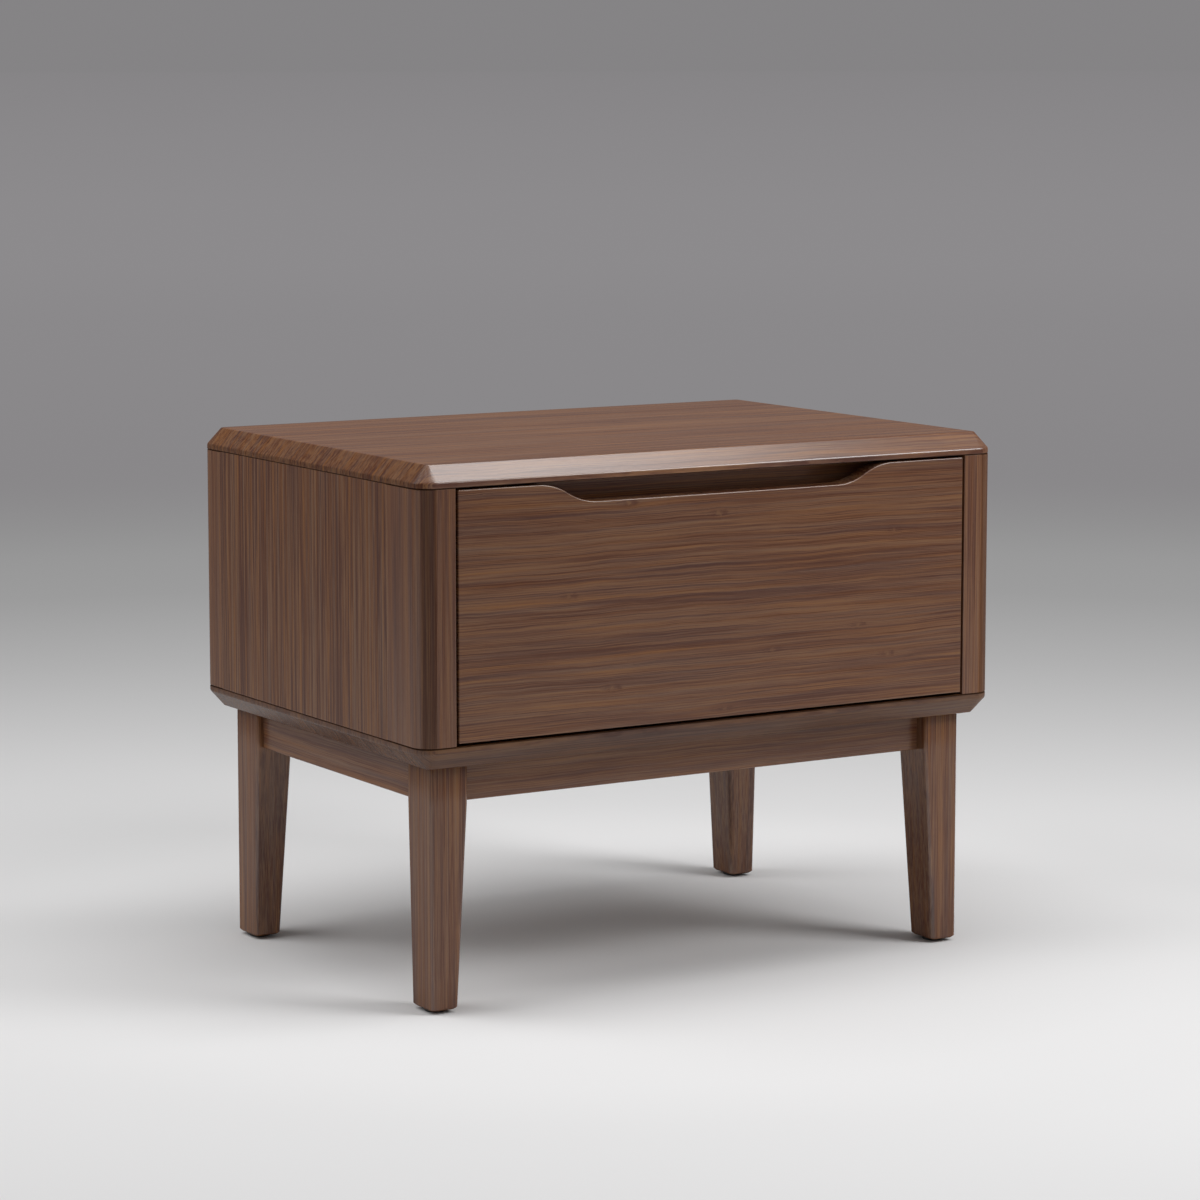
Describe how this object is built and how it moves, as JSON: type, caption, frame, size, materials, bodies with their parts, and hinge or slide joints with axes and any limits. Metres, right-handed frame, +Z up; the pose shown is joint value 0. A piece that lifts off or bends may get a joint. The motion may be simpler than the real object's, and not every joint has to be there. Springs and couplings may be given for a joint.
{
  "type": "nightstand",
  "caption": "Low bedside cabinet with chamfered top and bottom boards, an inset drawer with a scooped pull, and a base of tapered legs and recessed aprons.",
  "frame": {"origin": "on the floor under the middle of the body", "axes": "+Z up, the drawer faces -Y, +X to the right as seen from the front"},
  "size_m": [0.61, 0.43, 0.4854],
  "materials": {
    "walnut_strip": "satin lacquer over walnut stain",
    "plain_hardwood": "clear sealed",
    "thin_plywood": "matt stain",
    "dowel_beech": "bare",
    "zinc_steel": "zinc plated",
    "screw_steel": "zinc plated",
    "bright_steel": "polished",
    "glide_plastic": "matt",
    "pad_rubber": "matt"
  },
  "bodies": {
    "cabinet": {"apron_front": "walnut_strip", "apron_left": "walnut_strip", "apron_rear": "walnut_strip", "apron_right": "walnut_strip", "back_panel": "thin_plywood", "base_screws": "screw_steel", "batten_screws": "screw_steel", "bottom_panel": "walnut_strip", "case_dowels": "dowel_beech", "corner_block_front_left": "plain_hardwood", "corner_block_front_right": "plain_hardwood", "corner_block_rear_left": "plain_hardwood", "corner_block_rear_right": "plain_hardwood", "drawer_stop_left": "plain_hardwood", "drawer_stop_right": "plain_hardwood", "front_post_left": "walnut_strip", "front_post_right": "walnut_strip", "front_rail": "walnut_strip", "glide_front_left": "glide_plastic", "glide_front_right": "glide_plastic", "glide_rear_left": "glide_plastic", "glide_rear_right": "glide_plastic", "leg_front_left": "walnut_strip", "leg_front_right": "walnut_strip", "leg_rear_left": "walnut_strip", "leg_rear_right": "walnut_strip", "rear_post_left": "walnut_strip", "rear_post_right": "walnut_strip", "runner_batten_left": "plain_hardwood", "runner_batten_right": "plain_hardwood", "runner_case_screws": "screw_steel", "runner_fixed_left": "zinc_steel", "runner_fixed_right": "zinc_steel", "side_panel_left": "walnut_strip", "side_panel_right": "walnut_strip", "stop_pads": "pad_rubber", "top_panel": "walnut_strip"},
    "drawer": {"drawer_bottom": "thin_plywood", "drawer_box_back": "plain_hardwood", "drawer_box_front": "plain_hardwood", "drawer_front": "walnut_strip", "drawer_front_screws": "screw_steel", "drawer_side_left": "plain_hardwood", "drawer_side_right": "plain_hardwood", "runner_box_screws": "screw_steel", "runner_drawer_left": "zinc_steel", "runner_drawer_right": "zinc_steel"},
    "runner_middles": {"runner_middle_left": "zinc_steel", "runner_middle_right": "zinc_steel"},
    "outer_cages": {"outer_balls": "bright_steel", "outer_ball_cages": "zinc_steel"},
    "inner_cages": {"inner_balls": "bright_steel", "inner_ball_cages": "zinc_steel"}
  },
  "joints": [
    {"name": "drawer_slide", "type": "slide", "parent": "cabinet", "child": "drawer", "axis": [0, -1, 0], "range_m": [0, 0.33]},
    {"name": "middle_slide", "type": "slide", "parent": "cabinet", "child": "runner_middles", "axis": [0, -1, 0], "range_m": [0, 0.165]},
    {"name": "outer_cage_slide", "type": "slide", "parent": "cabinet", "child": "outer_cages", "axis": [0, -1, 0], "range_m": [0, 0.0825]},
    {"name": "inner_cage_slide", "type": "slide", "parent": "cabinet", "child": "inner_cages", "axis": [0, -1, 0], "range_m": [0, 0.2475]}
  ],
  "couplings": [
    {"joint": "middle_slide", "follows": "drawer_slide", "ratio": 0.5},
    {"joint": "outer_cage_slide", "follows": "drawer_slide", "ratio": 0.25},
    {"joint": "inner_cage_slide", "follows": "drawer_slide", "ratio": 0.75}
  ]
}
